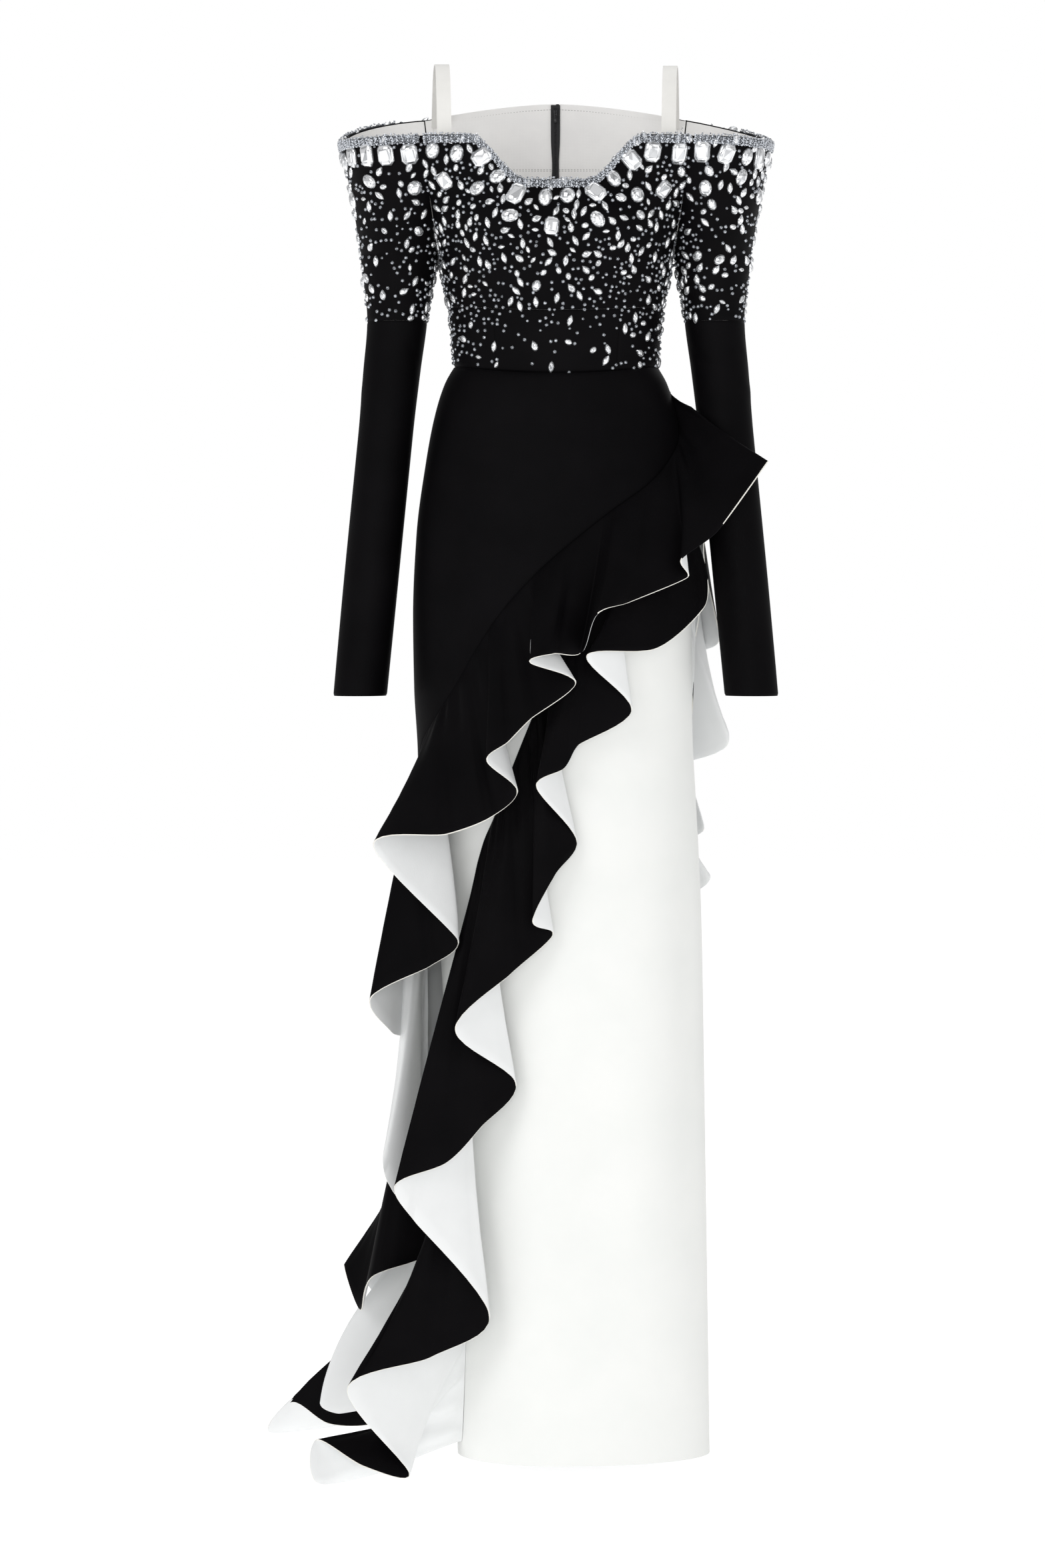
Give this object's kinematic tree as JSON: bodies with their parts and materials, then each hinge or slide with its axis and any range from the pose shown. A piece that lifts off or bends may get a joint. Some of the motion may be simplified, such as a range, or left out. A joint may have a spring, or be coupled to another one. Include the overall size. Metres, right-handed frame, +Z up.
{
  "type": "evening gown",
  "caption": "Worn-shape off-the-shoulder gown: beaded bodice and upper sleeves, black overskirt cut on the diagonal, cascading flounces over an ivory column skirt.",
  "frame": {"origin": "midway between the tops of the two shoulder straps, on their undersides, where a wearer's shoulders hold the gown", "axes": "+X to the wearer's left, -Y to the front, +Z up; metres"},
  "size_m": [0.585, 0.5369, 1.5736],
  "materials": {
    "black_crepe": "soft crepe",
    "ivory_crepe": "soft crepe",
    "silver_beads": "small glass beads",
    "black_metal": "satin"
  },
  "bodies": {
    "root": {"bodice_front": "black_crepe", "midriff_front": "black_crepe", "midriff_side_left": "black_crepe", "midriff_side_right": "black_crepe", "bodice_back_left": "black_crepe", "bodice_back_right": "black_crepe", "sleeve_upper_left": "black_crepe", "sleeve_upper_right": "black_crepe", "sleeve_lower_left": "black_crepe", "sleeve_lower_right": "black_crepe", "overskirt_front": "black_crepe", "overskirt_back": "black_crepe", "flounce_upper_front": "black_crepe", "flounce_upper_back": "black_crepe", "flounce_lower_front": "black_crepe", "flounce_lower_back": "black_crepe", "zip_tape": "black_crepe", "column_front": "ivory_crepe", "column_back": "ivory_crepe", "bodice_lining": "ivory_crepe", "strap_left": "ivory_crepe", "strap_right": "ivory_crepe", "neck_band_front": "silver_beads", "neck_band_left": "silver_beads", "neck_band_right": "silver_beads", "zip_slider": "black_metal"}
  },
  "joints": []
}
